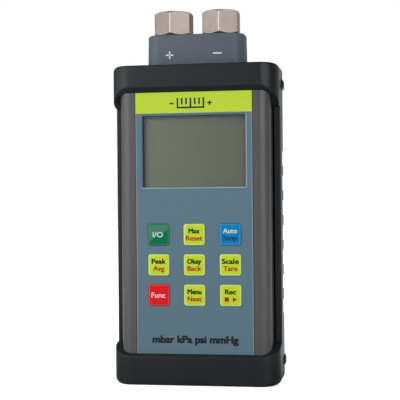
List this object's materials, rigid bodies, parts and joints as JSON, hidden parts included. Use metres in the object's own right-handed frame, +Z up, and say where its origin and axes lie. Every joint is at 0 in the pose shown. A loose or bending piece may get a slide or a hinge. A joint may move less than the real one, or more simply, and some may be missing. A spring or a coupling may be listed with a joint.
{
  "type": "digital manometer",
  "caption": "Hand-held digital manometer in a rubber boot, with a display, a keypad and two union-nut pressure ports on top.",
  "frame": {"origin": "centre of the flat bottom of the boot, on which the meter stands", "axes": "+Z up towards the pressure ports, -Y out of the face with the display and keys, +X to the right of the face"},
  "size_m": [0.0906, 0.0384, 0.1973],
  "materials": {
    "boot_rubber": "matt black moulded rubber",
    "case_plastic": "dark grey moulded plastic, satin",
    "block_plastic": "blue-grey satin",
    "label_print": "blue-grey printed overlay with a yellow-green band",
    "window_clear": "clear",
    "key_green": "green satin",
    "key_yellow": "yellow-green satin",
    "key_blue": "blue satin",
    "key_red": "red satin",
    "nickel": "nickel plated brass, brushed",
    "olive_brass": "bare brass",
    "seal_rubber": "black",
    "lcd": "grey-green liquid crystal display",
    "frame_plastic": "black",
    "zebra_rubber": "pink silicone",
    "board": "green solder mask",
    "chip": "black moulding",
    "socket_plastic": "cream",
    "silicone": "milky silicone",
    "cell": "printed cell jacket",
    "lead_red": "red",
    "lead_black": "black",
    "screw_steel": "zinc plated"
  },
  "bodies": {
    "meter": {"boot": "boot_rubber", "front_case": "case_plastic", "rear_case": "case_plastic", "port_block": "block_plastic", "faceplate": "label_print", "display_window": "window_clear", "plus_fitting": "nickel", "minus_fitting": "nickel", "port_seals": "seal_rubber", "lcd_glass": "lcd", "lcd_frame": "frame_plastic", "zebra_strips": "zebra_rubber", "main_board": "board", "key_switches": "chip", "board_chips": "chip", "buzzer": "chip", "lead_socket": "socket_plastic", "pressure_sensor": "socket_plastic", "plus_hose": "silicone", "minus_hose": "silicone", "battery_holder": "frame_plastic", "battery_cells": "cell", "battery_contacts": "nickel", "plus_lead": "lead_red", "minus_lead": "lead_black", "case_screws": "screw_steel", "board_screws": "screw_steel"},
    "key_top_left_body": {"key_top_left": "key_green"},
    "key_top_middle_body": {"key_top_middle": "key_yellow"},
    "key_top_right_body": {"key_top_right": "key_blue"},
    "key_middle_left_body": {"key_middle_left": "key_yellow"},
    "key_centre_body": {"key_centre": "key_yellow"},
    "key_middle_right_body": {"key_middle_right": "key_yellow"},
    "key_bottom_left_body": {"key_bottom_left": "key_red"},
    "key_bottom_middle_body": {"key_bottom_middle": "key_yellow"},
    "key_bottom_right_body": {"key_bottom_right": "key_yellow"},
    "battery_door_body": {"battery_door": "case_plastic"},
    "plus_olive_body": {"plus_olive": "olive_brass"},
    "plus_nut_body": {"plus_nut": "nickel"},
    "minus_olive_body": {"minus_olive": "olive_brass"},
    "minus_nut_body": {"minus_nut": "nickel"}
  },
  "joints": [
    {"name": "key_top_left_press", "type": "slide", "parent": "meter", "child": "key_top_left_body", "axis": [0, 1, 0], "range_m": [0, 0.0005], "stiffness_N_per_m": 2500, "springref_m": -0.0001},
    {"name": "key_top_middle_press", "type": "slide", "parent": "meter", "child": "key_top_middle_body", "axis": [0, 1, 0], "range_m": [0, 0.0005], "stiffness_N_per_m": 2500, "springref_m": -0.0001},
    {"name": "key_top_right_press", "type": "slide", "parent": "meter", "child": "key_top_right_body", "axis": [0, 1, 0], "range_m": [0, 0.0005], "stiffness_N_per_m": 2500, "springref_m": -0.0001},
    {"name": "key_middle_left_press", "type": "slide", "parent": "meter", "child": "key_middle_left_body", "axis": [0, 1, 0], "range_m": [0, 0.0005], "stiffness_N_per_m": 2500, "springref_m": -0.0001},
    {"name": "key_centre_press", "type": "slide", "parent": "meter", "child": "key_centre_body", "axis": [0, 1, 0], "range_m": [0, 0.0005], "stiffness_N_per_m": 2500, "springref_m": -0.0001},
    {"name": "key_middle_right_press", "type": "slide", "parent": "meter", "child": "key_middle_right_body", "axis": [0, 1, 0], "range_m": [0, 0.0005], "stiffness_N_per_m": 2500, "springref_m": -0.0001},
    {"name": "key_bottom_left_press", "type": "slide", "parent": "meter", "child": "key_bottom_left_body", "axis": [0, 1, 0], "range_m": [0, 0.0005], "stiffness_N_per_m": 2500, "springref_m": -0.0001},
    {"name": "key_bottom_middle_press", "type": "slide", "parent": "meter", "child": "key_bottom_middle_body", "axis": [0, 1, 0], "range_m": [0, 0.0005], "stiffness_N_per_m": 2500, "springref_m": -0.0001},
    {"name": "key_bottom_right_press", "type": "slide", "parent": "meter", "child": "key_bottom_right_body", "axis": [0, 1, 0], "range_m": [0, 0.0005], "stiffness_N_per_m": 2500, "springref_m": -0.0001},
    {"name": "battery_door_tilt", "type": "hinge", "parent": "meter", "child": "battery_door_body", "pos_m": [0, 0.01625, 0.0135], "axis": [-1, 0, 0], "range_deg": [0, 60]},
    {"name": "plus_nut_lift", "type": "slide", "parent": "meter", "child": "plus_olive_body", "axis": [0, 0, 1], "range_m": [0, 0.0045]},
    {"name": "plus_nut_turn", "type": "hinge", "parent": "plus_olive_body", "child": "plus_nut_body", "pos_m": [-0.01282, -0.00085, 0.19], "axis": [0, 0, 1], "range_deg": [0, 1080.5]},
    {"name": "minus_nut_lift", "type": "slide", "parent": "meter", "child": "minus_olive_body", "axis": [0, 0, 1], "range_m": [0, 0.0045]},
    {"name": "minus_nut_turn", "type": "hinge", "parent": "minus_olive_body", "child": "minus_nut_body", "pos_m": [0.01282, -0.00085, 0.19], "axis": [0, 0, 1], "range_deg": [0, 1080.5]}
  ],
  "couplings": [
    {"joint": "plus_nut_turn", "follows": "plus_nut_lift", "rad_per_m": 4188.8},
    {"joint": "minus_nut_turn", "follows": "minus_nut_lift", "rad_per_m": 4188.8}
  ]
}
